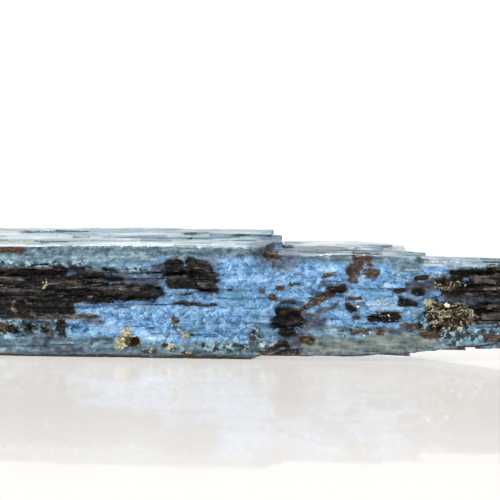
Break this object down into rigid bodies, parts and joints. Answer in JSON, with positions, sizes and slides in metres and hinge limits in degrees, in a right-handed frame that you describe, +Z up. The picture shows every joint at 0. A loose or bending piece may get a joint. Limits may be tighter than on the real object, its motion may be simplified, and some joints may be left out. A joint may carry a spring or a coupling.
{
  "type": "kyanite blade",
  "caption": "Long flat-sided blue kyanite crystal blade with stepped cleavage ledges, splintered ends and dark mica grown into its hollows, lying on its lower edge.",
  "frame": {"origin": "on the surface it lies on, under the middle of its box", "axes": "+X along the blade, -Y towards the front face, +Z up"},
  "size_m": [0.068, 0.0096, 0.0121],
  "materials": {
    "kyanite": "glassy to pearly cleavage faces, rough and dark where mica is grown in"
  },
  "bodies": {
    "root": {"kyanite_blade": "kyanite"}
  },
  "joints": []
}
